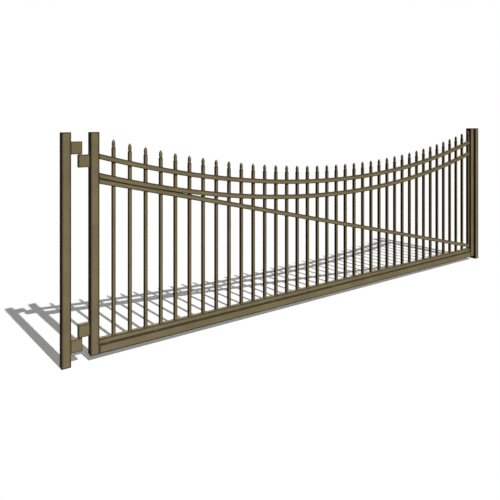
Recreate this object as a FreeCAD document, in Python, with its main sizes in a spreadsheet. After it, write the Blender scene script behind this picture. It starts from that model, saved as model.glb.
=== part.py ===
import FreeCAD, Part
import Sketcher
import math
import os

# Single-leaf swing gate for a driveway, of square steel tube, in millimetres.
# The origin is the middle of the hinge post's foot, X runs along the gate to the latch post, Z is up.

doc = FreeCAD.newDocument("DrivewayGate")
sheet = doc.addObject("Spreadsheet::Sheet", "Sizes")

driving_sizes = {
    # Posts, set in the ground at both sides of the driveway, from centre to centre
    "post_spacing": 4881.4,
    "post_side": 63.5,
    "post_wall": 3.2,
    "post_height": 1620,
    "corner_round": 2.5,
    "end_plate": 4,
    # Frame of the leaf: two stiles and the bottom rail
    "frame_side": 63.5,
    "frame_wall": 3.2,
    "ground_clearance": 41,
    "hinge_gap": 130,
    "latch_gap": 38,
    # Two curved rails, the bottom channel and the brace, with heights along the middle of each section
    "rail_side": 38.1,
    "rail_wall": 2.5,
    "rail_end_drop": 173,
    "rail_sag": 316,
    "rail_drop": 137,
    "brace_width": 31.75,
    "brace_foot_rise": 29.2,
    "brace_nesting": 5.9,
    # Pickets, and the room that a tube or plug has in its hole
    "picket_count": 37,
    "picket_side": 25.4,
    "picket_wall": 1.6,
    "picket_rise": 88,
    "fit_clearance": 0.3,
    # Pointed finials
    "finial_height": 60,
    "finial_width": 21.5,
    "finial_neck": 17.5,
    "finial_plate": 2,
    "finial_neck_height": 6,
    "finial_flare": 6,
    "finial_straight": 18,
    "finial_tip": 3,
    "finial_shank": 22,
    # Hinge blocks, pins and washer
    "block_length": 78,
    "block_depth": 38.1,
    "block_height": 88.5,
    "block_round": 2,
    "lower_hinge_height": 181,
    "upper_hinge_drop": 156,
    "hinge_slack": 5,
    "pin_diameter": 16,
    "pin_reach": 60,
    "pin_end_gap": 2,
    "pin_clearance": 0.05,
    "pin_seat": 0.01,
    "washer_diameter": 25,
    "washer_clearance": 0.3,
}

derived_sizes = {
    "post_bore": "post_side - 2 * post_wall",
    "post_plate": "post_bore - 2 * fit_clearance",
    "frame_bore": "frame_side - 2 * frame_wall",
    "frame_plate": "frame_bore - 2 * fit_clearance",
    "stile_height": "post_height - ground_clearance",
    "inner_width": "post_spacing - post_side - hinge_gap - latch_gap - 2 * frame_side",
    "half_width": "inner_width / 2",
    "picket_pitch": "inner_width / picket_count",
    "picket_gap": "picket_pitch - picket_side",
    "hinge_axis_x": "post_side / 2 + hinge_gap / 2",
    "stile_face_x": "post_side / 2 + hinge_gap",
    "hinge_stile_x": "stile_face_x + frame_side / 2",
    "infill_x": "stile_face_x + frame_side",
    "latch_stile_x": "infill_x + inner_width + frame_side / 2",
    "sill_z": "ground_clearance + frame_side",
    "bottom_rail_z": "ground_clearance + frame_side / 2",
    "rail_bore": "rail_side - 2 * rail_wall",
    "channel_inside_height": "rail_side - rail_wall",
    "arc_radius": "(half_width ^ 2 + rail_sag ^ 2) / (2 * rail_sag)",
    "rail_under_radius": "arc_radius + rail_side / 2",
    "rail_over_radius": "arc_radius - rail_side / 2",
    "inside_under_radius": "rail_under_radius + rail_wall",
    "inside_over_radius": "rail_over_radius + rail_wall",
    "top_rail_low_z": "post_height - rail_end_drop - rail_sag",
    "middle_rail_low_z": "top_rail_low_z - rail_drop",
    "brace_bore": "brace_width - 2 * rail_wall",
    "brace_foot_z": "sill_z + rail_side + brace_foot_rise",
    "brace_to_arc_z": "middle_rail_low_z + arc_radius - brace_foot_z",
    "brace_to_arc": "sqrt(half_width ^ 2 + brace_to_arc_z ^ 2)",
    "brace_tangent": "asin((arc_radius + rail_side - brace_nesting) / brace_to_arc)",
    "brace_angle": "atan(brace_to_arc_z / half_width) - brace_tangent",
    "brace_rise": "inner_width * tan(brace_angle)",
    "brace_depth": "rail_side / cos(brace_angle)",
    "brace_low_z": "brace_foot_z - brace_depth / 2",
    "brace_high_z": "brace_low_z + brace_rise",
    "brace_inside_low_z": "brace_low_z - rail_wall",
    "brace_inside_high_z": "brace_high_z - rail_wall",
    "brace_inside_depth": "brace_depth - rail_wall / cos(brace_angle) + rail_wall",
    "picket_bore": "picket_side - 2 * picket_wall",
    "picket_hole": "picket_side + 2 * fit_clearance",
    "first_hole_x": "picket_gap - fit_clearance",
    "hole_run": "(picket_count - 1) * picket_pitch",
    "shank_half": "picket_bore / 2 - fit_clearance",
    "plate_half": "picket_side / 2",
    "neck_half": "finial_neck / 2",
    "spear_half": "finial_width / 2",
    "tip_half": "finial_tip / 2",
    "plate_top": "finial_shank + finial_plate",
    "neck_top": "plate_top + finial_neck_height",
    "flare_top": "neck_top + finial_flare",
    "straight_top": "flare_top + finial_straight",
    "tip_top": "finial_shank + finial_height",
    "pin_offset": "hinge_gap / 2",
    "running_bore": "pin_diameter + 2 * pin_clearance",
    "seat_bore": "pin_diameter + 2 * pin_seat",
    "pin_length": "2 * pin_reach + hinge_slack - pin_end_gap",
    "washer_thickness": "hinge_slack - washer_clearance",
    "lower_post_block_z": "lower_hinge_height - hinge_slack / 2",
    "lower_gate_block_z": "lower_hinge_height + hinge_slack / 2",
    "upper_hinge_z": "post_height - upper_hinge_drop",
    "upper_gate_block_z": "upper_hinge_z - hinge_slack / 2",
    "upper_post_block_z": "upper_hinge_z + hinge_slack / 2",
}


def fill_sheet():
    """Writes every size to a row of the sheet, with its name as the alias."""
    formulas = {name: "=" + formula for name, formula in derived_sizes.items()}
    cells = {name: str(number) for name, number in driving_sizes.items()} | formulas
    for row, (name, text) in enumerate(cells.items(), start=1):
        sheet.set(f"A{row}", name)
        sheet.set(f"B{row}", text)
        sheet.setAlias(f"B{row}", name)
    doc.recompute()


def value(name):
    return float(sheet.get(name))


fill_sheet()
nodes = []


# Helpers for bodies, sketches and features

def new_body(label):
    body = doc.addObject("PartDesign::Body", label)
    body.Label = label
    nodes.append(body)
    return body


def place(piece, x="0", y="0", z="0", turn=FreeCAD.Rotation()):
    """Puts a piece's own origin at a point given by expressions, after a turn."""
    piece.Placement = FreeCAD.Placement(FreeCAD.Vector(), turn)
    piece.setExpression("Placement.Base.x", x)
    piece.setExpression("Placement.Base.y", y)
    piece.setExpression("Placement.Base.z", z)


def origin_feature(body, role):
    return next(feature for feature in body.Origin.OriginFeatures if feature.Role == role)


def new_sketch(body, role):
    sketch = body.newObject("Sketcher::SketchObject", "Sketch")
    sketch.AttachmentSupport = (origin_feature(body, role), [""])
    sketch.MapMode = "FlatFace"
    return sketch


def bind(sketch, name, size, kind, *where):
    """Adds a dimension to a sketch and ties it to a size of the sheet."""
    index = sketch.addConstraint(Sketcher.Constraint(kind, *where, value(size)))
    sketch.renameConstraint(index, name)
    sketch.setExpression("Constraints." + name, "Sizes." + size)


def add_loop(sketch, points):
    """Adds straight lines through the points, closed, and returns the first line's number."""
    first = sketch.GeometryCount
    count = len(points)
    for index in range(count):
        start = FreeCAD.Vector(*points[index], 0)
        end = FreeCAD.Vector(*points[(index + 1) % count], 0)
        sketch.addGeometry(Part.LineSegment(start, end))
    for index in range(count):
        following = first + (index + 1) % count
        sketch.addConstraint(Sketcher.Constraint("Coincident", first + index, 2, following, 1))
    return first


def add_rectangle(sketch, width, height, anchor):
    """Adds a rectangle about the origin, standing on it, beside it, or starting at a named distance."""
    wide, high = value(width), value(height)
    left = value(anchor) if anchor in derived_sizes else 0
    corner = {"middle": (-wide / 2, -high / 2), "foot": (-wide / 2, 0)}.get(anchor, (left, -high / 2))
    x, y = corner
    base = add_loop(sketch, [(x, y), (x + wide, y), (x + wide, y + high), (x, y + high)])
    right, top, side = base + 1, base + 2, base + 3
    for line in (base, top):
        sketch.addConstraint(Sketcher.Constraint("Horizontal", line))
    sketch.addConstraint(Sketcher.Constraint("Vertical", right))
    bind(sketch, f"width_{base}", width, "DistanceX", base, 1, base, 2)
    bind(sketch, f"height_{base}", height, "DistanceY", right, 1, right, 2)
    if anchor in ("middle", "foot"):
        opposite = right if anchor == "middle" else base
        sketch.addConstraint(Sketcher.Constraint("Vertical", side))
        sketch.addConstraint(Sketcher.Constraint("Symmetric", base, 1, opposite, 2, -1, 1))
        return
    sketch.addConstraint(Sketcher.Constraint("Symmetric", side, 1, side, 2, -1))
    if anchor == "beside":
        sketch.addConstraint(Sketcher.Constraint("PointOnObject", base, 1, -2))
    else:
        bind(sketch, f"start_{base}", anchor, "DistanceX", -1, 1, base, 1)


def add_feature(body, kind, sketch, length=None, side="One side", reverse=False):
    """Pads or pockets a sketch by a named length, or right through where there is none."""
    feature = body.newObject("PartDesign::" + kind, kind)
    feature.Profile = sketch
    feature.SideType = side
    feature.Reversed = reverse
    if length:
        feature.setExpression("Length", "Sizes." + length)
    else:
        feature.Type = "ThroughAll"
    doc.recompute()
    return feature


def round_long_edges(body, feature, direction, reach, radius):
    """Rounds the edges that run along a direction, further from the piece's own axis than reach."""
    along = FreeCAD.Vector(*direction)
    names = []
    for index, edge in enumerate(feature.Shape.Edges, start=1):
        if abs(edge.tangentAt(edge.FirstParameter).dot(along)) < 0.99:
            continue
        middle = edge.CenterOfMass
        across = middle - along * middle.dot(along)
        if across.Length > reach:
            names.append(f"Edge{index}")
    fillet = body.newObject("PartDesign::Fillet", "Rounded")
    fillet.Base = (feature, names)
    fillet.setExpression("Radius", "Sizes." + radius)
    doc.recompute()
    return fillet


def outer_corner_reach(side, bore):
    """A distance from a tube's axis that lies between its inner and its outer corners."""
    return (value(side) + value(bore)) / 2 / math.sqrt(2)


def upright_tube(label, side, bore, height, x, z):
    """A square tube standing on its lower end."""
    body = new_body(label)
    section = new_sketch(body, "XY_Plane")
    add_rectangle(section, side, side, "middle")
    add_rectangle(section, bore, bore, "middle")
    tube = add_feature(body, "Pad", section, height)
    round_long_edges(body, tube, (0, 0, 1), outer_corner_reach(side, bore), "corner_round")
    place(body, x=x, z=z)


def inset_plate(label, side, x, z):
    """A plate that closes a tube's end, let in flush with it."""
    plate = doc.addObject("Part::Box", label)
    plate.Label = label
    plate.setExpression("Length", "Sizes." + side)
    plate.setExpression("Width", "Sizes." + side)
    plate.setExpression("Height", "Sizes.end_plate")
    place(plate, x=f"{x} - Sizes.{side} / 2", y=f"-Sizes.{side} / 2", z=z)
    nodes.append(plate)


# Posts and stiles: square tubes closed at both ends. The stiles end level with the posts, clear of the ground.
def make_upright(label, part, height, x, foot_z):
    upright_tube(label, part + "_side", part + "_bore", height, x, foot_z)
    inset_plate(label + "_cap", part + "_plate", x, "Sizes.post_height - Sizes.end_plate")
    inset_plate(label + "_foot_cap", part + "_plate", x, foot_z)


make_upright("hinge_post", "post", "post_height", "0", "0")
make_upright("latch_post", "post", "post_height", "Sizes.post_spacing", "0")
make_upright("hinge_stile", "frame", "stile_height", "Sizes.hinge_stile_x", "Sizes.ground_clearance")
make_upright("latch_stile", "frame", "stile_height", "Sizes.latch_stile_x", "Sizes.ground_clearance")


# Bottom rail: a square tube welded between the stiles, flush with their faces
def make_bottom_rail():
    body = new_body("bottom_rail")
    section = new_sketch(body, "YZ_Plane")
    add_rectangle(section, "frame_side", "frame_side", "middle")
    add_rectangle(section, "frame_bore", "frame_bore", "middle")
    tube = add_feature(body, "Pad", section, "inner_width")
    round_long_edges(body, tube, (1, 0, 0), outer_corner_reach("frame_side", "frame_bore"), "corner_round")
    place(body, x="Sizes.infill_x", z="Sizes.bottom_rail_z")


# Punched pieces: each picket passes through its own square hole, one pitch from the last
def punch_picket_holes(body):
    hole = new_sketch(body, "XY_Plane")
    add_rectangle(hole, "picket_hole", "picket_hole", "first_hole_x")
    punch = add_feature(body, "Pocket", hole, side="Symmetric")
    pattern = body.newObject("PartDesign::LinearPattern", "PicketHoles")
    pattern.Originals = [punch]
    pattern.Direction = (origin_feature(body, "X_Axis"), [""])
    pattern.setExpression("Length", "Sizes.hole_run")
    pattern.setExpression("Occurrences", "Sizes.picket_count")
    body.Tip = pattern
    doc.recompute()


# Bottom channel: an upside-down channel on the bottom rail, with the pickets' feet inside it
def make_bottom_channel():
    body = new_body("bottom_channel")
    section = new_sketch(body, "YZ_Plane")
    add_rectangle(section, "rail_side", "rail_side", "foot")
    add_feature(body, "Pad", section, "inner_width")
    inside = new_sketch(body, "YZ_Plane")
    add_rectangle(inside, "rail_bore", "channel_inside_height", "foot")
    add_feature(body, "Pocket", inside, "inner_width", reverse=True)
    punch_picket_holes(body)
    place(body, x="Sizes.infill_x", z="Sizes.sill_z")


# Curved rails: channels open underneath, bent to one radius, lowest in the middle of the leaf
def add_curved_band(sketch, under_radius, over_radius):
    span = value("inner_width")
    centre = FreeCAD.Vector(span / 2, value("arc_radius"), 0)
    arcs = []
    for size in (under_radius, over_radius):
        circle = Part.Circle(centre, FreeCAD.Vector(0, 0, 1), value(size))
        half_angle = math.asin(span / 2 / value(size))
        lowest = 1.5 * math.pi
        arcs.append(sketch.addGeometry(Part.ArcOfCircle(circle, lowest - half_angle, lowest + half_angle)))
    under, over = arcs
    for end in (1, 2):
        line = Part.LineSegment(sketch.getPoint(under, end), sketch.getPoint(over, end))
        upright = sketch.addGeometry(line)
        sketch.addConstraint(Sketcher.Constraint("Coincident", upright, 1, under, end))
        sketch.addConstraint(Sketcher.Constraint("Coincident", upright, 2, over, end))
        sketch.addConstraint(Sketcher.Constraint("Vertical", upright))
    sketch.addConstraint(Sketcher.Constraint("Coincident", over, 3, under, 3))
    sketch.addConstraint(Sketcher.Constraint("PointOnObject", under, 1, -2))
    bind(sketch, "span", "inner_width", "DistanceX", under, 1, under, 2)
    bind(sketch, "centre_x", "half_width", "DistanceX", -1, 1, under, 3)
    bind(sketch, "centre_z", "arc_radius", "DistanceY", -1, 1, under, 3)
    bind(sketch, "under", under_radius, "Radius", under)
    bind(sketch, "over", over_radius, "Radius", over)


def make_curved_rail(label, low_z):
    body = new_body(label)
    outside = new_sketch(body, "XZ_Plane")
    add_curved_band(outside, "rail_under_radius", "rail_over_radius")
    add_feature(body, "Pad", outside, "rail_side", side="Symmetric")
    inside = new_sketch(body, "XZ_Plane")
    add_curved_band(inside, "inside_under_radius", "inside_over_radius")
    add_feature(body, "Pocket", inside, "rail_bore", side="Symmetric")
    punch_picket_holes(body)
    place(body, x="Sizes.infill_x", z=low_z)


# Brace: a straight channel that falls to the latch stile's foot.
# It is narrower than the rails, and near the hinge side its top nests in the middle rail's open underside.
def add_slanted_band(sketch, low_z, high_z, depth):
    span, low, high, deep = (value(size) for size in ("inner_width", low_z, high_z, depth))
    under = add_loop(sketch, [(0, high), (span, low), (span, low + deep), (0, high + deep)])
    right, over, left = under + 1, under + 2, under + 3
    for line in (right, left):
        sketch.addConstraint(Sketcher.Constraint("Vertical", line))
    sketch.addConstraint(Sketcher.Constraint("Parallel", under, over))
    sketch.addConstraint(Sketcher.Constraint("PointOnObject", under, 1, -2))
    bind(sketch, "span", "inner_width", "DistanceX", under, 1, under, 2)
    bind(sketch, "high", high_z, "DistanceY", -1, 1, under, 1)
    bind(sketch, "low", low_z, "DistanceY", -1, 1, under, 2)
    bind(sketch, "depth", depth, "DistanceY", right, 1, right, 2)


def make_brace():
    body = new_body("brace")
    outside = new_sketch(body, "XZ_Plane")
    add_slanted_band(outside, "brace_low_z", "brace_high_z", "brace_depth")
    add_feature(body, "Pad", outside, "brace_width", side="Symmetric")
    inside = new_sketch(body, "XZ_Plane")
    add_slanted_band(inside, "brace_inside_low_z", "brace_inside_high_z", "brace_inside_depth")
    add_feature(body, "Pocket", inside, "brace_bore", side="Symmetric")
    punch_picket_holes(body)
    place(body, x="Sizes.infill_x")


make_bottom_rail()
make_bottom_channel()
make_curved_rail("top_rail", "Sizes.top_rail_low_z")
make_curved_rail("middle_rail", "Sizes.middle_rail_low_z")
make_brace()


# Hinge blocks: solid blocks welded to the hinge post and stile, which overlap at the pin.
# A block's own origin is where its face meets the post or stile, level with the face that its pin enters.
def make_hinge_block(label, x, z, bore, turn):
    body = new_body(label)
    outline = new_sketch(body, "XY_Plane")
    add_rectangle(outline, "block_length", "block_depth", "beside")
    block = add_feature(body, "Pad", outline, "block_height")
    round_long_edges(body, block, (0, 0, 1), value("block_length") / 2, "block_round")
    pin_hole = new_sketch(body, "XY_Plane")
    centre = FreeCAD.Vector(value("pin_offset"), 0, 0)
    circle = pin_hole.addGeometry(Part.Circle(centre, FreeCAD.Vector(0, 0, 1), value(bore) / 2))
    pin_hole.addConstraint(Sketcher.Constraint("PointOnObject", circle, 3, -1))
    bind(pin_hole, "offset", "pin_offset", "DistanceX", -1, 1, circle, 3)
    bind(pin_hole, "bore", bore, "Diameter", circle)
    add_feature(body, "Pocket", pin_hole, "pin_reach", reverse=True)
    place(body, x=x, z=z, turn=turn)


post_face = "Sizes.post_side / 2"
stile_face = "Sizes.stile_face_x"
upside_down = FreeCAD.Rotation(FreeCAD.Vector(1, 0, 0), 180)
turned_round = FreeCAD.Rotation(FreeCAD.Vector(0, 0, 1), 180)
round_and_down = FreeCAD.Rotation(FreeCAD.Vector(0, 1, 0), 180)
upright = FreeCAD.Rotation()
make_hinge_block("lower_post_hinge_block", post_face, "Sizes.lower_post_block_z", "seat_bore", upside_down)
make_hinge_block("lower_gate_hinge_block", stile_face, "Sizes.lower_gate_block_z", "running_bore", turned_round)
make_hinge_block("upper_gate_hinge_block", stile_face, "Sizes.upper_gate_block_z", "running_bore", round_and_down)
make_hinge_block("upper_post_hinge_block", post_face, "Sizes.upper_post_block_z", "seat_bore", upright)


# Hinge pins: pressed into the post's blocks, running in the gate's blocks
def make_pin(label, foot_z):
    pin = doc.addObject("Part::Cylinder", label)
    pin.Label = label
    pin.setExpression("Radius", "Sizes.pin_diameter / 2")
    pin.setExpression("Height", "Sizes.pin_length")
    place(pin, x="Sizes.hinge_axis_x", z=foot_z)
    nodes.append(pin)


make_pin("lower_hinge_pin", "Sizes.lower_post_block_z - Sizes.pin_reach")
make_pin("upper_hinge_pin", "Sizes.upper_post_block_z + Sizes.pin_reach - Sizes.pin_length")


# Thrust washer: a loose ring on the lower post block, which carries the leaf's weight
def make_thrust_washer():
    ring = doc.addObject("Part::Cylinder", "WasherOutside")
    hole = doc.addObject("Part::Cylinder", "WasherHole")
    ring.setExpression("Radius", "Sizes.washer_diameter / 2")
    hole.setExpression("Radius", "Sizes.pin_diameter / 2 + Sizes.fit_clearance")
    for disc in (ring, hole):
        disc.setExpression("Height", "Sizes.washer_thickness")
        place(disc, x="Sizes.hinge_axis_x", z="Sizes.lower_post_block_z")
    washer = doc.addObject("Part::Cut", "thrust_washer")
    washer.Base = ring
    washer.Tool = hole
    nodes.append(washer)


make_thrust_washer()


# Finial: a four-sided spear with a necked base, a plate on the picket's end and a shank inside the tube.
# It is the solid that two profiles, one seen from the front and one from the side, have in common.
def add_finial_profile(name, turn):
    sketch = doc.addObject("Sketcher::SketchObject", name)
    sketch.Placement = FreeCAD.Placement(FreeCAD.Vector(), turn)
    foot = ("shank_half", None)
    outline = [
        foot,
        ("shank_half", "finial_shank"),
        ("plate_half", "finial_shank"),
        ("plate_half", "plate_top"),
        ("neck_half", "plate_top"),
        ("neck_half", "neck_top"),
        ("spear_half", "flare_top"),
        ("spear_half", "straight_top"),
        ("tip_half", "tip_top"),
    ]
    half = [(value(across), value(level) if level else 0) for across, level in outline]
    mirrored = [(-x, z) for x, z in reversed(half)]
    points = half + mirrored
    last = len(half) - 1
    edges = []
    for index in range(len(points)):
        start = FreeCAD.Vector(*points[index], 0)
        end = FreeCAD.Vector(*points[(index + 1) % len(points)], 0)
        if index in (last - 1, last + 1):
            edges.append(sketch.addGeometry(ogive_arc(start, end)))
        else:
            edges.append(sketch.addGeometry(Part.LineSegment(start, end)))
    constrain_finial(sketch, edges, outline)
    return sketch


def ogive_arc(start, end):
    """The arc, counter-clockwise, between two points whose lower one is where it leaves a vertical side."""
    lower, upper = sorted((start, end), key=lambda point: point.y)
    run, rise = lower.x - upper.x, upper.y - lower.y
    radius = (run ** 2 + rise ** 2) / (2 * abs(run))
    centre = FreeCAD.Vector(lower.x - math.copysign(radius, run), lower.y, 0)
    half_way = (start + end) / 2 - centre
    return Part.Arc(start, centre + half_way / half_way.Length * radius, end)


def constrain_finial(sketch, edges, outline):
    count = len(edges)
    last = len(outline) - 1
    arc_sides = ((last - 2, last - 1), (last + 1, last + 2))
    for index in range(count):
        following = (index + 1) % count
        kind = "Tangent" if (index, following) in arc_sides else "Coincident"
        sketch.addConstraint(Sketcher.Constraint(kind, edges[index], 2, edges[following], 1))
    for index, (across, level) in enumerate(outline):
        mirror = count - 1 - index
        sketch.addConstraint(Sketcher.Constraint("Symmetric", edges[index], 1, edges[mirror], 1, -2))
        bind(sketch, f"across_{index}", across, "DistanceX", -1, 1, edges[index], 1)
        if level:
            bind(sketch, f"level_{index}", level, "DistanceY", -1, 1, edges[index], 1)
        else:
            sketch.addConstraint(Sketcher.Constraint("PointOnObject", edges[index], 1, -1))


def make_finial():
    front = FreeCAD.Rotation(FreeCAD.Vector(1, 0, 0), 90)
    side = FreeCAD.Rotation(FreeCAD.Vector(0, 0, 1), 90).multiply(front)
    prisms = []
    for name, turn in (("FinialFront", front), ("FinialSide", side)):
        prism = doc.addObject("Part::Extrusion", name + "Prism")
        prism.Base = add_finial_profile(name, turn)
        prism.DirMode = "Normal"
        prism.Symmetric = True
        prism.Solid = True
        prism.setExpression("LengthFwd", "2 * Sizes.picket_side")
        prisms.append(prism)
    finial = doc.addObject("Part::Common", "Finial")
    finial.Base, finial.Tool = prisms
    doc.recompute()
    return finial


# Pickets: square tubes that stand on the bottom rail and follow the curve of the top rail, a finial on each.
# They are kept in groups, counted from the hinge side.
def picket_centre(number):
    return f"(Sizes.infill_x + {number} * Sizes.picket_pitch - Sizes.picket_side / 2)"


def picket_top(number):
    from_middle = f"({number} * Sizes.picket_pitch - Sizes.picket_side / 2 - Sizes.half_width)"
    curve = f"(Sizes.arc_radius - sqrt(Sizes.arc_radius ^ 2 - {from_middle} ^ 2))"
    return f"(Sizes.top_rail_low_z + {curve} + Sizes.picket_rise)"


def make_picket(number):
    tube = doc.addObject("Part::Cut", f"Picket{number}")
    for side, role in (("picket_side", "Base"), ("picket_bore", "Tool")):
        bar = doc.addObject("Part::Box", f"Picket{number}{role}")
        bar.setExpression("Length", "Sizes." + side)
        bar.setExpression("Width", "Sizes." + side)
        bar.setExpression("Height", f"{picket_top(number)} - Sizes.sill_z")
        place(bar, x=f"{picket_centre(number)} - Sizes.{side} / 2", y=f"-Sizes.{side} / 2", z="Sizes.sill_z")
        setattr(tube, role, bar)
    return tube


def make_finial_copy(number, finial):
    copy = doc.addObject("App::Link", f"Finial{number}")
    copy.LinkedObject = finial
    place(copy, x=picket_centre(number), z=f"{picket_top(number)} - Sizes.finial_shank")
    return copy


def make_group(label, pieces):
    group = doc.addObject("Part::Compound", label)
    group.Label = label
    group.Links = pieces
    nodes.append(group)


def make_infill(group_count):
    finial = make_finial()
    total = int(value("picket_count"))
    bounds = [round(total * index / group_count) for index in range(group_count + 1)]
    for group, (first, last) in enumerate(zip(bounds, bounds[1:]), start=1):
        numbers = range(first + 1, last + 1)
        make_group(f"pickets_group_{group}", [make_picket(number) for number in numbers])
        make_group(f"finials_group_{group}", [make_finial_copy(number, finial) for number in numbers])


make_infill(group_count=6)


# Every object is checked before anything is written
def write_parts():
    doc.recompute()
    failed = [item.Label for item in doc.Objects if "Invalid" in item.State or "Error" in item.State]
    if failed:
        raise RuntimeError(f"these objects failed: {failed}")
    for node in nodes:
        if node.Shape.isNull() or not node.Shape.isValid() or not node.Shape.Solids:
            raise RuntimeError(f"{node.Label} has no valid solid")
    os.makedirs("parts", exist_ok=True)
    for node in nodes:
        node.Shape.exportStep(f"parts/{node.Label}.step")
        print(f"{node.Label}: {len(node.Shape.Solids)} solids, {node.Shape.Volume / 1e6:.3f} litres")


write_parts()
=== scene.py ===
import math

import bmesh
import bpy
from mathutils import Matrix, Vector


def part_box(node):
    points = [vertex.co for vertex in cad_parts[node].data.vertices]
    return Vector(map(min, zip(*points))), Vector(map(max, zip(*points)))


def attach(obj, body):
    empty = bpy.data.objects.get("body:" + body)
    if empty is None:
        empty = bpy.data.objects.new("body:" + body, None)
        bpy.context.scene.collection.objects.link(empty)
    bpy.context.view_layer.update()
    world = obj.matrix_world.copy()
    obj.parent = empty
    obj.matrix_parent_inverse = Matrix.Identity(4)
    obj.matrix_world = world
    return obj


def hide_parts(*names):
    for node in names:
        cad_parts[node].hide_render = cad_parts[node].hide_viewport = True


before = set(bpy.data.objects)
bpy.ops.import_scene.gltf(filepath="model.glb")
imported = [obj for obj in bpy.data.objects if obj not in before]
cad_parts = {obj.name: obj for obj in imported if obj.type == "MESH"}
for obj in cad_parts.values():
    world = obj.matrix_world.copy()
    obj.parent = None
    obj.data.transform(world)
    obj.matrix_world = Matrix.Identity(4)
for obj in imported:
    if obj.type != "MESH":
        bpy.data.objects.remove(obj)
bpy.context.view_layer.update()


# Hinge post and latch post: square steel tubes that stand at both sides of the drive, cut level at the top.
# A plate is let into each end, welded and ground flush. Both posts are powder-coated in matt bronze.

def add_node(tree, kind, inputs=None, **settings):
    """A new node. An input is given as a number, a colour, or the socket that feeds it."""
    node = tree.nodes.new(kind)
    for name, setting in settings.items():
        setattr(node, name, setting)
    for socket, given in (inputs or {}).items():
        if isinstance(given, bpy.types.NodeSocket):
            tree.links.new(given, node.inputs[socket])
        else:
            node.inputs[socket].default_value = given
    return node


def calculate(tree, operation, *operands):
    """The result of one operation on numbers or sockets."""
    return add_node(tree, "ShaderNodeMath", dict(enumerate(operands)), operation=operation).outputs[0]


def calculate_vector(tree, operation, *operands):
    """The outputs of one operation on vectors or sockets."""
    return add_node(tree, "ShaderNodeVectorMath", dict(enumerate(operands)), operation=operation).outputs


def parts_of(tree, vector):
    """The three numbers of a vector."""
    return add_node(tree, "ShaderNodeSeparateXYZ", {0: vector}).outputs


def ramp(tree, number, low, high):
    """A smooth step from 0 at low to 1 at high."""
    inputs = {"Value": number, "From Min": low, "From Max": high}
    return add_node(tree, "ShaderNodeMapRange", inputs, interpolation_type="SMOOTHSTEP").outputs[0]


def noise(tree, place, scale, detail=3):
    """Smooth noise between 0 and 1, about 0.5."""
    inputs = {"Vector": place, "Scale": scale, "Detail": detail}
    return add_node(tree, "ShaderNodeTexNoise", inputs).outputs[0]


def stretch(tree, place, scale):
    """A place with each axis scaled on its own, for noise that runs one way."""
    return add_node(tree, "ShaderNodeMapping", {"Vector": place, "Scale": scale}).outputs[0]


def lay_over(tree, mask, under, over):
    """One colour laid over another where the mask is 1."""
    factor, first, second, result = 0, 6, 7, 2
    inputs = {factor: mask, first: under, second: over}
    return add_node(tree, "ShaderNodeMix", inputs, data_type="RGBA").outputs[result]


def new_group(name, kind, inputs, outputs):
    """An empty node group with named sockets, the sockets that it is given and those that it fills."""
    group = bpy.data.node_groups.new(name, kind)
    for way, sockets in (("INPUT", inputs), ("OUTPUT", outputs)):
        for socket, value_kind in sockets.items():
            group.interface.new_socket(socket, in_out=way, socket_type="NodeSocket" + value_kind)
    given = group.nodes.new("NodeGroupInput").outputs
    result = group.nodes.new("NodeGroupOutput").inputs
    return group, given, result


def make_coat_texture():
    """Clouds in the coat's tone, from uneven spraying, its dark flecks and the fine peel of its surface."""
    cloud_contrast = 0.3, 0.7
    fleck_contrast = 0.56, 0.7
    fleck_fineness = 2.3
    fleck_strength = 0.55
    group, given, result = new_group(
        "Coat texture", "ShaderNodeTree",
        {"Cloud Scale": "Float", "Peel Scale": "Float"},
        {"Tone": "Float", "Flecks": "Float", "Peel": "Float"},
    )
    place = add_node(group, "ShaderNodeTexCoord").outputs["Object"]
    clouds = noise(group, place, given["Cloud Scale"], detail=5)
    peel = noise(group, place, given["Peel Scale"], detail=2)
    fleck_scale = calculate(group, "MULTIPLY", given["Peel Scale"], fleck_fineness)
    flecks = ramp(group, noise(group, place, fleck_scale, detail=1), *fleck_contrast)
    group.links.new(ramp(group, clouds, *cloud_contrast), result["Tone"])
    group.links.new(calculate(group, "MULTIPLY", flecks, fleck_strength), result["Flecks"])
    group.links.new(peel, result["Peel"])
    return group


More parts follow.
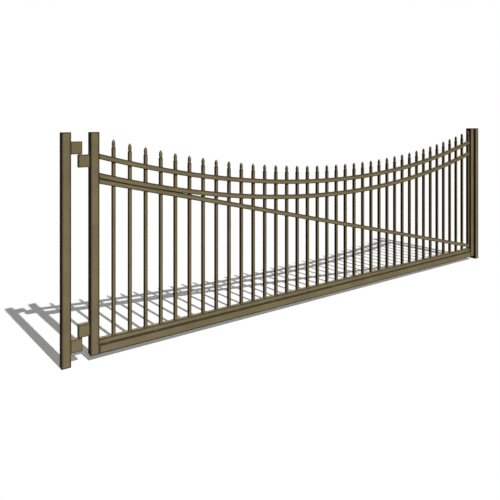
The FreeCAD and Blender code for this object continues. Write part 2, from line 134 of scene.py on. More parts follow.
def make_edge_wear():
    """A ragged mask along the edges, where the coat runs thin, for three kinds of piece.

    A solid one wears where easing its edges by the reach would lean its faces over. The walls of a tube are
    too thin for that, so a tube gives its box and wears near the edges of the box. The mesh of a channel or
    picket keeps each point's place in the section, from -1 to 1 both ways, and wears where both are large.
    """
    ragged_scale = 45
    ragged_spread = 0.06
    worn_lean = 0.988, 0.955
    worn_distance = 0.0075, 0.0025
    distance_spread = 0.06
    worn_place = 0.66, 0.9
    place_spread = 3
    group, given, result = new_group(
        "Edge wear", "ShaderNodeTree",
        {"Reach": "Float", "Amount": "Float", "Box Centre": "Vector", "Box Half": "Vector"},
        {"Mask": "Float"},
    )
    place = add_node(group, "ShaderNodeTexCoord").outputs["Object"]
    grain = noise(group, place, ragged_scale)
    raggedness = calculate(group, "MULTIPLY_ADD", grain, ragged_spread, -ragged_spread / 2)

    facing = add_node(group, "ShaderNodeNewGeometry").outputs["Normal"]
    eased = add_node(group, "ShaderNodeBevel", {"Radius": given["Reach"]}, samples=8).outputs[0]
    lean = calculate_vector(group, "DOT_PRODUCT", facing, eased)["Value"]
    solid_edges = ramp(group, calculate(group, "ADD", lean, raggedness), *worn_lean)

    # Of the distances to the three pairs of faces of a box, the middle one is that to its nearest edge.
    from_centre = calculate_vector(group, "SUBTRACT", place, given["Box Centre"])[0]
    from_centre = calculate_vector(group, "ABSOLUTE", from_centre)[0]
    x, y, z = parts_of(group, calculate_vector(group, "SUBTRACT", given["Box Half"], from_centre)[0])
    nearer = calculate(group, "MINIMUM", x, y)
    further = calculate(group, "MAXIMUM", x, y)
    from_edge = calculate(group, "MAXIMUM", nearer, calculate(group, "MINIMUM", further, z))
    from_edge = calculate(group, "MULTIPLY_ADD", raggedness, distance_spread, from_edge)
    tube_edges = ramp(group, from_edge, *worn_distance)

    section = add_node(group, "ShaderNodeAttribute", attribute_name="section_place").outputs["Vector"]
    from_middle = parts_of(group, calculate_vector(group, "ABSOLUTE", section)[0])
    both = calculate(group, "MINIMUM", from_middle["X"], from_middle["Z"])
    both = calculate(group, "MULTIPLY_ADD", raggedness, place_spread, both)
    section_edges = ramp(group, both, *worn_place)

    worn = calculate(group, "MAXIMUM", solid_edges, calculate(group, "MAXIMUM", tube_edges, section_edges))
    group.links.new(calculate(group, "MULTIPLY", worn, given["Amount"]), result["Mask"])
    return group


def make_dust_and_shade_film():
    """Splashes that fade upwards from the ground, and a film on faces that look up: dust, and on the bottom
    rail's ledges dark dirt with painted shade.
    """
    drip_stretch = 30, 30, 4
    drip_contrast = 0.3, 0.75
    patch_scale = 7
    patch_softness = 0.25
    level_faces = 0.85, 0.97
    group, given, result = new_group(
        "Dust and shade film", "ShaderNodeTree",
        {"Splash Height": "Float", "Bare Share": "Float", "Amount": "Float"},
        {"Mask": "Float"},
    )
    coordinates = add_node(group, "ShaderNodeTexCoord").outputs
    height = parts_of(group, coordinates["Object"])["Z"]
    facing_up = parts_of(group, coordinates["Normal"])["Z"]
    drips = noise(group, stretch(group, coordinates["Object"], drip_stretch), 1)
    fading = ramp(group, height, given["Splash Height"], 0)
    splash = calculate(group, "MULTIPLY", fading, ramp(group, drips, *drip_contrast))
    steps = (-patch_softness, patch_softness)
    patch_contrast = (calculate(group, "ADD", given["Bare Share"], step) for step in steps)
    patches = ramp(group, noise(group, coordinates["Object"], patch_scale), *patch_contrast)
    up_facing_film = calculate(group, "MULTIPLY", ramp(group, facing_up, *level_faces), patches)
    mask = calculate(group, "MULTIPLY", calculate(group, "MAXIMUM", splash, up_facing_film), given["Amount"])
    group.links.new(mask, result["Mask"])
    return group


def new_material(name):
    """A material with its node tree and the inputs of its shader."""
    material = bpy.data.materials.new(name)
    material.use_nodes = True
    tree = material.node_tree
    return material, tree, tree.nodes["Principled BSDF"].inputs


coat_texture = make_coat_texture()
edge_wear = make_edge_wear()
dust_and_shade_film = make_dust_and_shade_film()
coat_tones = (0.214, 0.17, 0.088, 1), (0.258, 0.206, 0.11, 1)
coat_fleck = (0.11, 0.087, 0.046, 1)
dark_primer = (0.022, 0.019, 0.014, 1)
pale_dust = (0.34, 0.31, 0.24, 1)
# Dark road dirt, used on the bottom rail's ledges also as painted shade of the corner beside the channel.
dark_dirt_and_shade = (0.035, 0.028, 0.018, 1)
cloud_scale = 5
coat_roughness = 0.78
cloud_roughness = 0.1
dust_roughness = 0.1
coat_reflection = 0.02
peel_strength = 0.4
peel_depth = 0.0006

# A piece that isn't a tube gets a box so large that no point of the piece is near its edges.
far_off = 1000
no_tube = {"Box Centre": (0, 0, 0), "Box Half": (far_off, far_off, far_off)}


def tube_box(node):
    """The middle of a tube and half its size each way."""
    low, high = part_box(node)
    return {"Box Centre": (low + high) / 2, "Box Half": (high - low) / 2}


def powder_coat(
    name, reach, dust_and_shade_amount, wear=0.92, tube=no_tube, peel_scale=420,
    splash=0.5, bare=0.5, dirt_and_shade=pale_dust, tones=coat_tones,
):
    """Matt bronze powder coat, thin along the edges so that its dark primer shows, under dust, and on the
    bottom rail under dark dirt with painted shade.
    """
    material, tree, shader = new_material(name)
    texture_scales = {"Cloud Scale": cloud_scale, "Peel Scale": peel_scale}
    texture = add_node(tree, "ShaderNodeGroup", texture_scales, node_tree=coat_texture).outputs
    thin_coat = {"Reach": reach, "Amount": wear, **tube}
    worn = add_node(tree, "ShaderNodeGroup", thin_coat, node_tree=edge_wear).outputs["Mask"]
    dust_and_shade_reach = {"Splash Height": splash, "Bare Share": bare, "Amount": dust_and_shade_amount}
    dust_and_shade_mask = add_node(tree, "ShaderNodeGroup", dust_and_shade_reach, node_tree=dust_and_shade_film).outputs["Mask"]
    coat = lay_over(tree, texture["Tone"], *tones)
    coat = lay_over(tree, texture["Flecks"], coat, coat_fleck)
    coat = lay_over(tree, worn, coat, dark_primer)
    # The film's colour is dust on most pieces, and dark dirt with painted shade on the bottom rail's
    # ledges.
    tree.links.new(lay_over(tree, dust_and_shade_mask, coat, dirt_and_shade), shader["Base Color"])
    matt = calculate(tree, "MULTIPLY_ADD", texture["Tone"], cloud_roughness, coat_roughness)
    tree.links.new(calculate(tree, "MULTIPLY_ADD", dust_and_shade_mask, dust_roughness, matt), shader["Roughness"])
    peel = {"Height": texture["Peel"], "Strength": peel_strength, "Distance": peel_depth}
    tree.links.new(add_node(tree, "ShaderNodeBump", peel).outputs["Normal"], shader["Normal"])
    shader["Specular IOR Level"].default_value = coat_reflection
    return material


def finish_node(name, material):
    """Gives a node of the frame its finish."""
    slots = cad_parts[name].data.materials
    slots.clear()
    slots.append(material)


def finish_upright(upright):
    """Coats a post or stile and the plates in its ends."""
    coat = powder_coat(f"bronze_{upright}_coat", reach=0.016, dust_and_shade_amount=0.12, tube=tube_box(upright))
    for piece in (upright, upright + "_cap", upright + "_foot_cap"):
        finish_node(piece, coat)


for post in ("hinge_post", "latch_post"):
    finish_upright(post)


# Hinge blocks: solid steel blocks, two welded to the hinge post and two to the leaf, one above the other.
# Their edges are broken with a grinder. A convex bead runs round each at the upright, and dirt sits in
# the ripples of the bead.

block_edge = 0.0016
block_bead = 0.0042
block_ripple = 0.0035
same_point = 0.00001
sharp_corner = math.radians(40)
block_coat = powder_coat("bronze_block_coat", reach=0.013, dust_and_shade_amount=0.15)
hinge_blocks = (
    "lower_post_hinge_block", "lower_gate_hinge_block",
    "upper_post_hinge_block", "upper_gate_hinge_block",
)
for block in hinge_blocks:
    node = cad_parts[block]
    joined = node.modifiers.new("Joined triangles", "WELD")
    joined.merge_threshold = same_point
    broken_edges = node.modifiers.new("Broken edges", "BEVEL")
    broken_edges.width = block_edge
    broken_edges.segments = 2
    broken_edges.limit_method = "ANGLE"
    broken_edges.angle_limit = sharp_corner
    finish_node(block, block_coat)


def shade(tree, geometry, smooth):
    """Shades a mesh smooth, or flat so that its folds stay crisp."""
    shading = {"Geometry": geometry, "Shade Smooth": smooth}
    return add_node(tree, "GeometryNodeSetShadeSmooth", shading).outputs[0]


def coat_all(tree, geometry, given, result):
    """Ends a tree: all its copies are made real and get the coat that the tree is given."""
    real = add_node(tree, "GeometryNodeRealizeInstances", {"Geometry": geometry}).outputs[0]
    coated = add_node(tree, "GeometryNodeSetMaterial", {"Geometry": real, "Material": given["Coat"]})
    tree.links.new(coated.outputs[0], result["Geometry"])


def make_weld_bead():
    """A rippled round bead along each edge of the mesh that it is given."""
    points_per_ripple = 4
    ripple_height = 0.09
    swelling_scale = 90
    swelling_range = 0.5
    thinnest = 0.75
    bead_sides = 8
    group, given, result = new_group(
        "Weld bead", "GeometryNodeTree",
        {"Geometry": "Geometry", "Bead Radius": "Float", "Ripple": "Float", "Coat": "Material"},
        {"Geometry": "Geometry"},
    )
    seams = add_node(group, "GeometryNodeMeshToCurve", {"Mesh": given["Geometry"]}).outputs[0]
    spacing = calculate(group, "DIVIDE", given["Ripple"], points_per_ripple)
    spaced = {"Curve": seams, "Length": spacing}
    seams = add_node(group, "GeometryNodeResampleCurve", spaced, mode="LENGTH").outputs[0]
    travelled = add_node(group, "GeometryNodeSplineParameter").outputs["Length"]
    turns = calculate(group, "DIVIDE", travelled, given["Ripple"])
    wave = calculate(group, "SINE", calculate(group, "MULTIPLY", turns, math.tau))
    place = add_node(group, "GeometryNodeInputPosition").outputs[0]
    uneven = noise(group, place, swelling_scale)
    uneven = calculate(group, "MULTIPLY_ADD", uneven, swelling_range, thinnest)
    swelling = calculate(group, "MULTIPLY_ADD", wave, ripple_height, uneven)
    circle = {"Resolution": bead_sides, "Radius": given["Bead Radius"]}
    section = add_node(group, "GeometryNodeCurvePrimitiveCircle", circle).outputs[0]
    sweep = {"Curve": seams, "Profile Curve": section, "Scale": swelling, "Fill Caps": True}
    bead = add_node(group, "GeometryNodeCurveToMesh", sweep).outputs[0]
    coat_all(group, shade(group, bead, True), given, result)
    return group


def made_by_nodes(name, tree, start, settings):
    """A plain mesh object, made from a start mesh by a tree with these settings."""
    piece = bpy.data.objects.new(name, start)
    bpy.context.scene.collection.objects.link(piece)
    modifier = piece.modifiers.new(name, "NODES")
    modifier.node_group = tree
    for socket in tree.interface.items_tree:
        if socket.name in settings:
            modifier[socket.identifier] = settings[socket.name]
    evaluated = piece.evaluated_get(bpy.context.evaluated_depsgraph_get())
    made = bpy.data.meshes.new_from_object(evaluated)
    piece.modifiers.remove(modifier)
    piece.data = made
    made.name = name
    return piece


def seam_paths(runs):
    """A mesh of edges along each run of points."""
    paths = bmesh.new()
    for points, closed in runs:
        corners = [paths.verts.new(point) for point in points]
        for start, end in zip(corners, corners[1:]):
            paths.edges.new((start, end))
        if closed:
            paths.edges.new((corners[-1], corners[0]))
    mesh = bpy.data.meshes.new("seams")
    paths.to_mesh(mesh)
    paths.free()
    return mesh


def block_seam(block, x):
    """The closed run round a block's end, on the face of the upright at x."""
    low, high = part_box(block)
    return [(x, low.y, low.z), (x, high.y, low.z), (x, high.y, high.z), (x, low.y, high.z)], True


weld_bead = make_weld_bead()
dirty_tones = (0.05, 0.04, 0.022, 1), (0.1, 0.08, 0.044, 1)
weld_coat = powder_coat(
    "bronze_weld_coat", reach=0.002, dust_and_shade_amount=0.2, wear=0, peel_scale=900, tones=dirty_tones,
)
post_face_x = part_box("hinge_post")[1].x
stile_face_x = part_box("hinge_stile")[0].x
for owner, body, upright_x in (("post", "posts", post_face_x), ("gate", "leaf", stile_face_x)):
    runs = [block_seam(f"{level}_{owner}_hinge_block", upright_x) for level in ("lower", "upper")]
    block_sizes = {"Bead Radius": block_bead, "Ripple": block_ripple, "Coat": weld_coat}
    block_welds = made_by_nodes(f"{owner}_block_welds", weld_bead, seam_paths(runs), block_sizes)
    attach(block_welds, body)


# Hinge pins and thrust washer: turned steel pins pressed into the post's blocks, with the leaf's weight
# on a brass washer at the foot. All are bare metal under a film of dark grease, seen in the gap of the
# blocks.

steel_grey = (0.56, 0.57, 0.58, 1)
brass_yellow = (0.72, 0.52, 0.22, 1)
grease_brown = (0.03, 0.024, 0.016, 1)
metal_roughness = 0.32
grease_smoothing = -0.1
mark_strength = 0.3
mark_depth = 0.0001


def make_grease():
    """Dark smears of grease that run round the pin."""
    smear_stretch = 60, 60, 400
    smear_contrast = 0.35, 0.65
    group, given, result = new_group("Grease", "ShaderNodeTree", {"Amount": "Float"}, {"Mask": "Float"})
    place = add_node(group, "ShaderNodeTexCoord").outputs["Object"]
    smears = noise(group, stretch(group, place, smear_stretch), 1, detail=4)
    mask = calculate(group, "MULTIPLY", ramp(group, smears, *smear_contrast), given["Amount"])
    group.links.new(mask, result["Mask"])
    return group


grease = make_grease()


def greased_metal(name, colour, amount):
    """Turned bare metal, partly under dark grease."""
    mark_stretch = 20, 20, 3000
    material, tree, shader = new_material(name)
    mask = add_node(tree, "ShaderNodeGroup", {"Amount": amount}, node_tree=grease).outputs["Mask"]
    tree.links.new(lay_over(tree, mask, colour, grease_brown), shader["Base Color"])
    tree.links.new(calculate(tree, "SUBTRACT", 1, mask), shader["Metallic"])
    roughness = calculate(tree, "MULTIPLY_ADD", mask, grease_smoothing, metal_roughness)
    tree.links.new(roughness, shader["Roughness"])
    place = add_node(tree, "ShaderNodeTexCoord").outputs["Object"]
    turning_marks = noise(tree, stretch(tree, place, mark_stretch), 1)
    marks = {"Height": turning_marks, "Strength": mark_strength, "Distance": mark_depth}
    tree.links.new(add_node(tree, "ShaderNodeBump", marks).outputs["Normal"], shader["Normal"])
    return material


pin_steel = greased_metal("greased_pin_steel", steel_grey, amount=0.8)
washer_brass = greased_metal("greased_washer_brass", brass_yellow, amount=0.5)
finish_node("lower_hinge_pin", pin_steel)
finish_node("upper_hinge_pin", pin_steel)
finish_node("thrust_washer", washer_brass)


# Frame of the leaf: two stiles of the posts' tube, closed at both ends, and a bottom rail of the same tube
# welded between them with its faces flush. The rail's narrow top ledges are dark: road dirt together with
# painted shade of the corner where the channel sits on the rail.

for stile in ("hinge_stile", "latch_stile"):
    finish_upright(stile)
# The dark film on the bottom rail's top ledges is road dirt and painted shade of the corner beside the
# channel.
sill_coat = powder_coat(
    "bronze_sill_coat", reach=0.014, dust_and_shade_amount=0.92, tube=tube_box("bottom_rail"),
    splash=0.02, bare=0.2, dirt_and_shade=dark_dirt_and_shade,
)
finish_node("bottom_rail", sill_coat)


# Rails, bottom channel and brace: sheet steel folded into channels, open underneath, and punched for the
# pickets. The two rails are rolled to one radius, so the leaf dips in the middle. All four are welded to
# the stiles.

picket_count = 37
bend_steps = 65
rail_wall = 0.0025
rail_corner = 0.003
rail_lip = 0.0006
hole_clearance = 0.0006
leaf_low, leaf_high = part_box("top_rail")
leaf_width = leaf_high.x - leaf_low.x
middle_x = (leaf_low.x + leaf_high.x) / 2
rail_side = leaf_high.y - leaf_low.y
half_rail = rail_side / 2
picket_side = 2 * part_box("pickets_group_1")[1].y
picket_pitch = leaf_width / picket_count
first_picket_x = leaf_low.x + picket_pitch - picket_side / 2
hole_side = picket_side + hole_clearance


def bend_radius(low, high):
    """The radius of a rail's middle line, from the box of the rail."""
    over_dip = high.z - low.z - half_rail
    half_width = leaf_width / 2
    return (over_dip ** 2 - half_rail ** 2 + half_width ** 2) / (2 * (over_dip - half_rail))


def brace_line(low, high):
    """The height of the brace's middle line at the middle of the leaf, and its slope."""
    height = high.z - low.z
    angle = math.acos(rail_side / math.hypot(height, leaf_width)) - math.atan2(leaf_width, height)
    return {"Height": (low.z + high.z) / 2, "Slope": -math.tan(angle), "Bend Radius": 0.0}


def rail_line_of(node):
    """How the middle line of a rail, the brace or the channel runs along the leaf."""
    low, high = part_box(node)
    if node == "brace":
        line = brace_line(low, high)
    elif node == "bottom_channel":
        line = {"Height": (low.z + high.z) / 2, "Slope": 0.0, "Bend Radius": 0.0}
    else:
        line = {"Height": low.z + half_rail, "Slope": 0.0, "Bend Radius": bend_radius(low, high)}
    return line | {"Middle X": middle_x}


line_sockets = {"Middle X": "Float", "Height": "Float", "Slope": "Float", "Bend Radius": "Float"}


def make_rail_line():
    """The height at x of a line that runs a given offset above a rail's middle line."""
    group, given, result = new_group(
        "Rail line", "GeometryNodeTree", {"X": "Float", "Offset": "Float", **line_sockets}, {"Z": "Float"}
    )
    from_middle = calculate(group, "SUBTRACT", given["X"], given["Middle X"])
    radius = calculate(group, "SUBTRACT", given["Bend Radius"], given["Offset"])
    radius_squared = calculate(group, "POWER", radius, 2)
    reach_squared = calculate(group, "MULTIPLY", from_middle, from_middle)
    drop = calculate(group, "SQRT", calculate(group, "SUBTRACT", radius_squared, reach_squared))
    bent = calculate(group, "SUBTRACT", given["Bend Radius"], drop)
    steepness = calculate(group, "MULTIPLY_ADD", given["Slope"], given["Slope"], 1)
    upright_offset = calculate(group, "MULTIPLY", given["Offset"], calculate(group, "SQRT", steepness))
    straight = calculate(group, "MULTIPLY_ADD", from_middle, given["Slope"], upright_offset)
    is_bent = calculate(group, "GREATER_THAN", given["Bend Radius"], 0)
    choice = {"Switch": is_bent, "False": straight, "True": bent}
    above = add_node(group, "GeometryNodeSwitch", choice, input_type="FLOAT").outputs[0]
    group.links.new(calculate(group, "ADD", given["Height"], above), result["Z"])
    return group


rail_line = make_rail_line()


def height_on_line(tree, given, x, offset):
    """The height of a rail's line at x, inside a tree that has the line's sockets."""
    place = {"X": x, "Offset": offset}
    line = {socket: given[socket] for socket in line_sockets}
    return add_node(tree, "GeometryNodeGroup", place | line, node_tree=rail_line).outputs[0]


def combine(tree, x, y, z):
    """A vector of three numbers."""
    return add_node(tree, "ShaderNodeCombineXYZ", {0: x, 1: y, 2: z}).outputs[0]


def set_place(tree, geometry, x, y, z):
    """Moves every point of a geometry to a new place."""
    place = {"Geometry": geometry, "Position": combine(tree, x, y, z)}
    return add_node(tree, "GeometryNodeSetPosition", place).outputs[0]


def repeat(tree, points, piece):
    """One real copy of a piece at each point."""
    copies = {"Points": points, "Instance": piece}
    copies = add_node(tree, "GeometryNodeInstanceOnPoints", copies).outputs[0]
    return add_node(tree, "GeometryNodeRealizeInstances", {"Geometry": copies}).outputs[0]


picket_sockets = {"First X": "Float", "Pitch": "Float", "Count": "Int"}
picket_row = {"First X": first_picket_x, "Pitch": picket_pitch, "Count": picket_count}


def picket_points(tree, given):
    """One point for each picket, along X."""
    row = {
        "Count": given["Count"],
        "Start Location": combine(tree, given["First X"], 0, 0),
        "Offset": combine(tree, given["Pitch"], 0, 0),
    }
    return add_node(tree, "GeometryNodeMeshLine", row).outputs[0]


def mark_section(tree, geometry, across, level):
    """Keeps each point's place in its bar's section, for the wear on the edges."""
    section_place = combine(tree, across, 0, level)
    marked = {"Geometry": geometry, "Name": "section_place", "Value": section_place}
    return add_node(tree, "GeometryNodeStoreNamedAttribute", marked, data_type="FLOAT_VECTOR").outputs[0]


def make_punched_channel():
    """Sweeps the outline of a section along the leaf, bends it to its line and punches the picket holes."""
    punch_height = 4
    group, given, result = new_group(
        "Punched channel", "GeometryNodeTree",
        {"Geometry": "Geometry", "Start X": "Float", "End X": "Float", "Steps": "Int", "Hole Side": "Float",
         "Half Width": "Float", "Half Height": "Float", **line_sockets, **picket_sockets,
         "Coat": "Material"},
        {"Geometry": "Geometry"},
    )
    ends = {
        "Start": combine(group, given["Start X"], 0, 0),
        "End": combine(group, given["End X"], 0, 0),
    }
    path = add_node(group, "GeometryNodeCurvePrimitiveLine", ends).outputs[0]
    stepped = {"Curve": path, "Count": given["Steps"]}
    path = add_node(group, "GeometryNodeResampleCurve", stepped).outputs[0]
    section = add_node(group, "GeometryNodeMeshToCurve", {"Mesh": given["Geometry"]}).outputs[0]
    sweep = {"Curve": path, "Profile Curve": section, "Fill Caps": True}
    straight = add_node(group, "GeometryNodeCurveToMesh", sweep).outputs[0]
    x, y, z = parts_of(group, add_node(group, "GeometryNodeInputPosition").outputs[0])
    bent = set_place(group, straight, x, y, height_on_line(group, given, x, z))
    punch_size = combine(group, given["Hole Side"], given["Hole Side"], punch_height)
    punch = add_node(group, "GeometryNodeMeshCube", {"Size": punch_size}).outputs[0]
    punches = repeat(group, picket_points(group, given), punch)
    cut = {"Mesh 1": bent, "Mesh 2": punches}
    punched = add_node(group, "GeometryNodeMeshBoolean", cut, solver="EXACT").outputs[0]
    punched = shade(group, punched, False)
    middle = height_on_line(group, given, x, 0)
    above_middle = calculate(group, "SUBTRACT", z, middle)
    top = height_on_line(group, given, x, given["Half Height"])
    level = calculate(group, "DIVIDE", above_middle, calculate(group, "SUBTRACT", top, middle))
    across = calculate(group, "DIVIDE", y, given["Half Width"])
    coat_all(group, mark_section(group, punched, across, level), given, result)
    return group


def rounded_outline(corners, steps=4):
    """A closed run of edges through square corners, each given as x, y and the radius of its rounding."""
    points = []
    for index, (x, y, radius) in enumerate(corners):
        corner = Vector((x, y))
        before = Vector(corners[index - 1][:2]) - corner
        after = Vector(corners[(index + 1) % len(corners)][:2]) - corner
        before.normalize()
        after.normalize()
        centre = corner + radius * (before + after)
        for step in range(steps + 1):
            turn = math.radians(90) * step / steps
            point = centre - radius * (after * math.cos(turn) + before * math.sin(turn))
            points.append((point.x, point.y, 0))
    return seam_paths([(points, True)])


def channel_outline(half_width):
    """The section of a channel, open below, about its own middle.

    The sweep turns its second axis downwards.
    """
    inside = half_width - rail_wall
    web = half_rail - rail_wall
    fold = rail_corner - rail_wall
    return rounded_outline([
        (half_width, half_rail, rail_lip),
        (half_width, -half_rail, rail_corner),
        (-half_width, -half_rail, rail_corner),
        (-half_width, half_rail, rail_lip),
        (-inside, half_rail, rail_lip),
        (-inside, -web, fold),
        (inside, -web, fold),
        (inside, half_rail, rail_lip),
    ])


punched_channel = make_punched_channel()
rail_coat = powder_coat("bronze_rail_coat", reach=0.014, dust_and_shade_amount=0.15)
channels = ("bottom_channel", "top_rail", "middle_rail", "brace")
for node in channels:
    half_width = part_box(node)[1].y
    channel_sizes = {
        "Start X": leaf_low.x, "End X": leaf_high.x, "Steps": bend_steps, "Hole Side": hole_side,
        "Half Width": half_width, "Half Height": half_rail, "Coat": rail_coat,
        **rail_line_of(node), **picket_row,
    }
    outline = channel_outline(half_width)
    channel = made_by_nodes("punched_" + node, punched_channel, outline, channel_sizes)
    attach(channel, "leaf")
    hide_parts(node)


# Seams of the leaf: convex beads where the channels and the bottom rail meet the stiles, and short stitches
# that hold the channel down on the bottom rail and the brace up in the middle rail. All were welded before
# coating.

seam_bead = 0.003
groove_bead = 0.0018
seam_ripple = 0.003
most_swelling = 1.4
groove_depth = most_swelling * groove_bead
stitch_length = 0.035
stitch_spacing = 3 * picket_pitch
first_stitch_x = leaf_low.x + picket_pitch / 3
brace_stitch_reach = 0.6


def height_at(line, x, offset):
    """The height at x of a line that runs an offset above a rail's middle line."""
    from_middle = x - line["Middle X"]
    radius = line["Bend Radius"]
    if radius:
        return line["Height"] + radius - math.sqrt((radius - offset) ** 2 - from_middle ** 2)
    return line["Height"] + line["Slope"] * from_middle + offset * math.hypot(1, line["Slope"])


def channel_seam(node, x):
    """The open run over a channel's end, on the face of a stile."""
    line = rail_line_of(node)
    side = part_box(node)[1].y
    foot, top = (height_at(line, x, offset) for offset in (-half_rail, half_rail))
    return [(x, -side, foot), (x, -side, top), (x, side, top), (x, side, foot)], False


def stitches(node, y, last_x):
    """Short runs along the lower edge of a channel, one for every third picket."""
    line = rail_line_of(node)
    runs = []
    start = first_stitch_x
    while start + stitch_length < last_x:
        ends = (start, start + stitch_length)
        runs.append(([(x, y, height_at(line, x, -half_rail)) for x in ends], False))
        start += stitch_spacing
    return runs


def bottom_rail_seam(x):
    """The closed run round the bottom rail's end, sunk into the groove at its flush faces."""
    low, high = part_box("bottom_rail")
    side = high.y - groove_depth
    return [(x, -side, low.z), (x, side, low.z), (x, side, high.z), (x, -side, high.z)], True


end_faces = (leaf_low.x, leaf_high.x)
seam_runs = [channel_seam(node, x) for node in channels for x in end_faces]
brace_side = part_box("brace")[1].y
for way in (-1, 1):
    seam_runs += stitches("bottom_channel", way * half_rail, leaf_high.x)
    seam_runs += stitches("middle_rail", way * brace_side, leaf_low.x + brace_stitch_reach)
groove_runs = [bottom_rail_seam(x) for x in end_faces]
leaf_welds = (
    ("leaf_seam_welds", seam_runs, seam_bead),
    ("bottom_rail_welds", groove_runs, groove_bead),
)
for name, runs, bead in leaf_welds:
    seam_sizes = {"Bead Radius": bead, "Ripple": seam_ripple, "Coat": weld_coat}
    welds = made_by_nodes(name, weld_bead, seam_paths(runs), seam_sizes)
    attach(welds, "leaf")


# Pickets: square tubes with rounded corners that stand on the bottom rail and pass through the punched
# channels. Each is cut so that its top follows the dip of the rails. A small fillet weld closes each hole
# from above.

picket_corner = 0.0024
hole_bead = 0.0022
half_picket = picket_side / 2
group_numbers = range(1, 7)
picket_foot_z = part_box("pickets_group_1")[0].z
first_picket_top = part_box("pickets_group_1")[1].z
picket_rise = first_picket_top - height_at(rail_line_of("top_rail"), first_picket_x, 0)


def make_picket_row():
    """Sweeps the outline of a picket upwards, one at each place, to a top that follows the rail."""
    group, given, result = new_group(
        "Picket row", "GeometryNodeTree",
        {"Geometry": "Geometry", "Half Side": "Float", "Foot Z": "Float", "Rise": "Float",
         **line_sockets, **picket_sockets, "Coat": "Material"},
        {"Geometry": "Geometry"},
    )
    upwards = {"Start": (0, 0, 0), "End": (0, 0, 1)}
    path = add_node(group, "GeometryNodeCurvePrimitiveLine", upwards).outputs[0]
    section = add_node(group, "GeometryNodeMeshToCurve", {"Mesh": given["Geometry"]}).outputs[0]
    sweep = {"Curve": path, "Profile Curve": section, "Fill Caps": True}
    picket = shade(group, add_node(group, "GeometryNodeCurveToMesh", sweep).outputs[0], False)
    x, y, z = parts_of(group, add_node(group, "GeometryNodeInputPosition").outputs[0])
    across, level = (calculate(group, "DIVIDE", part, given["Half Side"]) for part in (x, y))
    picket = mark_section(group, picket, across, level)
    points = {"Geometry": picket_points(group, given), "Name": "picket_x", "Value": x}
    points = add_node(group, "GeometryNodeStoreNamedAttribute", points).outputs[0]
    pickets = repeat(group, points, picket)
    centre = add_node(group, "GeometryNodeInputNamedAttribute", {"Name": "picket_x"}).outputs[0]
    top = calculate(group, "ADD", height_on_line(group, given, centre, 0), given["Rise"])
    height = calculate(group, "SUBTRACT", top, given["Foot Z"])
    cut = set_place(group, pickets, x, y, calculate(group, "MULTIPLY_ADD", z, height, given["Foot Z"]))
    coat_all(group, cut, given, result)
    return group


def make_hole_welds():
    """A small bead round every picket where it comes out of the top of a channel."""
    ring_points = 20
    bead_sides = 6
    swelling_scale = 160
    swelling_range = 0.7
    thinnest = 0.65
    group, given, result = new_group(
        "Hole welds", "GeometryNodeTree",
        {"Geometry": "Geometry", "Ring Side": "Float", "Bead Radius": "Float", "Offset": "Float",
         **line_sockets, **picket_sockets, "Coat": "Material"},
        {"Geometry": "Geometry"},
    )
    ring_size = {"Width": given["Ring Side"], "Height": given["Ring Side"]}
    ring = add_node(group, "GeometryNodeCurvePrimitiveQuadrilateral", ring_size).outputs[0]
    spaced = {"Curve": ring, "Count": ring_points}
    ring = add_node(group, "GeometryNodeResampleCurve", spaced).outputs[0]
    rings = repeat(group, picket_points(group, given), ring)
    place = add_node(group, "GeometryNodeInputPosition").outputs[0]
    x, y, z = parts_of(group, place)
    rings = set_place(group, rings, x, y, height_on_line(group, given, x, given["Offset"]))
    circle = {"Resolution": bead_sides, "Radius": given["Bead Radius"]}
    section = add_node(group, "GeometryNodeCurvePrimitiveCircle", circle).outputs[0]
    uneven = noise(group, place, swelling_scale)
    swelling = calculate(group, "MULTIPLY_ADD", uneven, swelling_range, thinnest)
    sweep = {"Curve": rings, "Profile Curve": section, "Scale": swelling}
    beads = add_node(group, "GeometryNodeCurveToMesh", sweep).outputs[0]
    coat_all(group, shade(group, beads, True), given, result)
    return group


ways_round = ((-1, -1), (1, -1), (1, 1), (-1, 1))
picket_corners = [(x * half_picket, y * half_picket, picket_corner) for x, y in ways_round]
picket_coat = powder_coat("bronze_picket_coat", reach=0.013, dust_and_shade_amount=0.12)
picket_sizes = {
    "Half Side": half_picket, "Foot Z": picket_foot_z, "Rise": picket_rise, "Coat": picket_coat,
    **rail_line_of("top_rail"), **picket_row,
}
pickets = made_by_nodes("picket_row", make_picket_row(), rounded_outline(picket_corners), picket_sizes)
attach(pickets, "leaf")
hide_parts(*(f"pickets_group_{number}" for number in group_numbers))

hole_welds = make_hole_welds()
for node in channels:
    ring_sizes = {
        "Ring Side": picket_side, "Bead Radius": hole_bead, "Offset": half_rail, "Coat": weld_coat,
        **rail_line_of(node), **picket_row,
    }
    beads = made_by_nodes(node + "_hole_welds", hole_welds, bpy.data.meshes.new("none"), ring_sizes)
    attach(beads, "leaf")


# Finials: cast four-sided spearheads, one driven into each picket by its shank, with a plate on the end
# of the picket. The ridges and the neck are softened as a casting leaves them, and they are coated with
# the leaf.

finial_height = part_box("finials_group_1")[1].z - first_picket_top
plate_height = 0.002
neck_height = 0.006
flare_height = 0.006
straight_height = 0.018
neck_top = plate_height + neck_height
flare_top = neck_top + flare_height
straight_top = flare_top + straight_height
neck_half = 0.00875
spear_half = 0.01075
tip_half = 0.0015
soft_edge = 0.0005
flat_share = 0.86
crease_angle = math.radians(32)


def spear_profile(steps):
    """Half widths up the curved point of the spear, as pairs of height and half width."""
    run = spear_half - tip_half
    rise = finial_height - straight_top
    radius = (run ** 2 + rise ** 2) / (2 * run)
    heights = [rise * step / steps for step in range(steps + 1)]
    return [(straight_top + up, spear_half - radius + math.sqrt(radius ** 2 - up ** 2)) for up in heights]


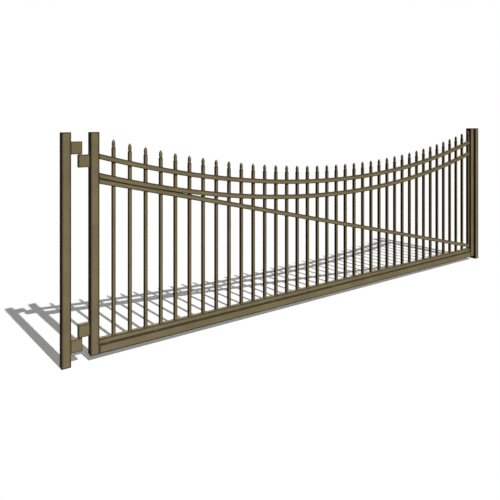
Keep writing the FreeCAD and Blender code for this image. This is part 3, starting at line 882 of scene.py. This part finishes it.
def finial_mesh():
    """Stacks square rings with softened corners from the plate to the point."""
    profile = [
        (0, half_picket - soft_edge),
        (soft_edge, half_picket),
        (plate_height - soft_edge, half_picket),
        (plate_height, half_picket - soft_edge),
        (plate_height, neck_half + 2 * soft_edge),
        (plate_height + 2 * soft_edge, neck_half),
        (neck_top - soft_edge, neck_half),
        (neck_top + 2 * soft_edge, neck_half + soft_edge),
        (flare_top - soft_edge, spear_half - soft_edge / 2),
        (flare_top + soft_edge, spear_half),
        *spear_profile(steps=8),
    ]
    shape = bmesh.new()
    rings = []
    for height, half in profile:
        flat = half * flat_share
        corners = [
            (half, -flat), (half, flat), (flat, half), (-flat, half),
            (-half, flat), (-half, -flat), (-flat, -half), (flat, -half),
        ]
        rings.append([shape.verts.new((x, y, height)) for x, y in corners])
    for lower, upper in zip(rings, rings[1:]):
        for index in range(len(lower)):
            after = (index + 1) % len(lower)
            shape.faces.new((lower[index], lower[after], upper[after], upper[index]))
    shape.faces.new(reversed(rings[0]))
    shape.faces.new(rings[-1])
    mesh = bpy.data.meshes.new("finial")
    shape.to_mesh(mesh)
    shape.free()
    mesh.shade_smooth()
    mesh.set_sharp_from_angle(angle=crease_angle)
    return mesh


def make_finial_row():
    """One finial on the top of each picket."""
    group, given, result = new_group(
        "Finial row", "GeometryNodeTree",
        {"Geometry": "Geometry", "Rise": "Float", **line_sockets, **picket_sockets, "Coat": "Material"},
        {"Geometry": "Geometry"},
    )
    x, y, z = parts_of(group, add_node(group, "GeometryNodeInputPosition").outputs[0])
    top = calculate(group, "ADD", height_on_line(group, given, x, 0), given["Rise"])
    tops = set_place(group, picket_points(group, given), x, y, top)
    coat_all(group, repeat(group, tops, given["Geometry"]), given, result)
    return group


finial_coat = powder_coat("bronze_finial_coat", reach=0.006, dust_and_shade_amount=0.2, wear=0.8, peel_scale=260)
finial_sizes = {"Rise": picket_rise, "Coat": finial_coat, **rail_line_of("top_rail"), **picket_row}
finials = made_by_nodes("finial_row", make_finial_row(), finial_mesh(), finial_sizes)
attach(finials, "leaf")
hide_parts(*(f"finials_group_{number}" for number in group_numbers))


# Floor, sun and sky: a plain white ground that takes the gate's shadow, a sun high in front of the gate,
# and a weak light from behind that casts no shadow. The camera stands where the photograph was taken from.

floor_reach = 60
floor_white = (0.77, 0.77, 0.77, 1)
floor_passed_on = (0.025, 0.025, 0.025, 1)
sky_white = (1, 1, 1, 1)
sky_seen = 1
sky_passed_on = 0.015
sun_direction = (1.6, -11.08, 13.25)
back_direction = (0.5, 0.8, 0.45)
eye_place = (-0.746, -3.462, 1.683)
eye_heading = math.radians(-33.26)
lens_length = 34.45
film_width = 36
horizon_shift = -0.2536
sight_reach = 200

bpy.ops.mesh.primitive_plane_add(size=2 * floor_reach)
floor = bpy.context.object
floor.name = "floor"


def seen_directly(tree):
    """1 for rays from the camera and for reflections, 0 for light that is passed on."""
    rays = add_node(tree, "ShaderNodeLightPath").outputs
    reflected = calculate(tree, "MAXIMUM", rays["Is Glossy Ray"], rays["Is Transmission Ray"])
    return calculate(tree, "MAXIMUM", rays["Is Camera Ray"], reflected)


def make_floor_material():
    """White where it is seen, and dark for the light that it would pass on to the gate."""
    material = bpy.data.materials.new("white_floor")
    material.use_nodes = True
    tree = material.node_tree
    tree.nodes.clear()
    white = add_node(tree, "ShaderNodeBsdfDiffuse", {"Color": floor_white}).outputs[0]
    passed_on = add_node(tree, "ShaderNodeBsdfDiffuse", {"Color": floor_passed_on}).outputs[0]
    choice = {0: seen_directly(tree), 1: passed_on, 2: white}
    seen = add_node(tree, "ShaderNodeMixShader", choice).outputs[0]
    add_node(tree, "ShaderNodeOutputMaterial", {"Surface": seen})
    return material


def make_sky():
    """White where it is seen, and dim for the light that it gives."""
    world = bpy.data.worlds.new("white_sky")
    world.use_nodes = True
    tree = world.node_tree
    tree.nodes.clear()
    bright = {"Color": sky_white, "Strength": sky_seen}
    bright = add_node(tree, "ShaderNodeBackground", bright).outputs[0]
    dim = {"Color": sky_white, "Strength": sky_passed_on}
    dim = add_node(tree, "ShaderNodeBackground", dim).outputs[0]
    choice = {0: seen_directly(tree), 1: dim, 2: bright}
    seen = add_node(tree, "ShaderNodeMixShader", choice).outputs[0]
    add_node(tree, "ShaderNodeOutputWorld", {"Surface": seen})
    return world


def add_sun(name, direction, strength, spread, shadow):
    """A sun that shines from a direction."""
    lamp = bpy.data.lights.new(name, "SUN")
    lamp.energy = strength
    lamp.angle = math.radians(spread)
    lamp.use_shadow = shadow
    sun = bpy.data.objects.new(name, lamp)
    sun.rotation_euler = Vector(direction).to_track_quat("Z", "Y").to_euler()
    bpy.context.scene.collection.objects.link(sun)


floor.data.materials.append(make_floor_material())
bpy.context.scene.world = make_sky()
add_sun("sun", sun_direction, strength=3.95, spread=0.6, shadow=True)
add_sun("back_light", back_direction, strength=2.4, spread=20, shadow=False)

camera_data = bpy.data.cameras.new("eye")
camera_data.lens = lens_length
camera_data.sensor_width = film_width
camera_data.shift_y = horizon_shift
camera_data.clip_end = sight_reach
camera = bpy.data.objects.new("eye", camera_data)
camera.location = eye_place
camera.rotation_euler = (math.radians(90), 0, eye_heading)
bpy.context.scene.collection.objects.link(camera)
bpy.context.scene.camera = camera
bpy.context.scene.view_settings.view_transform = "Standard"
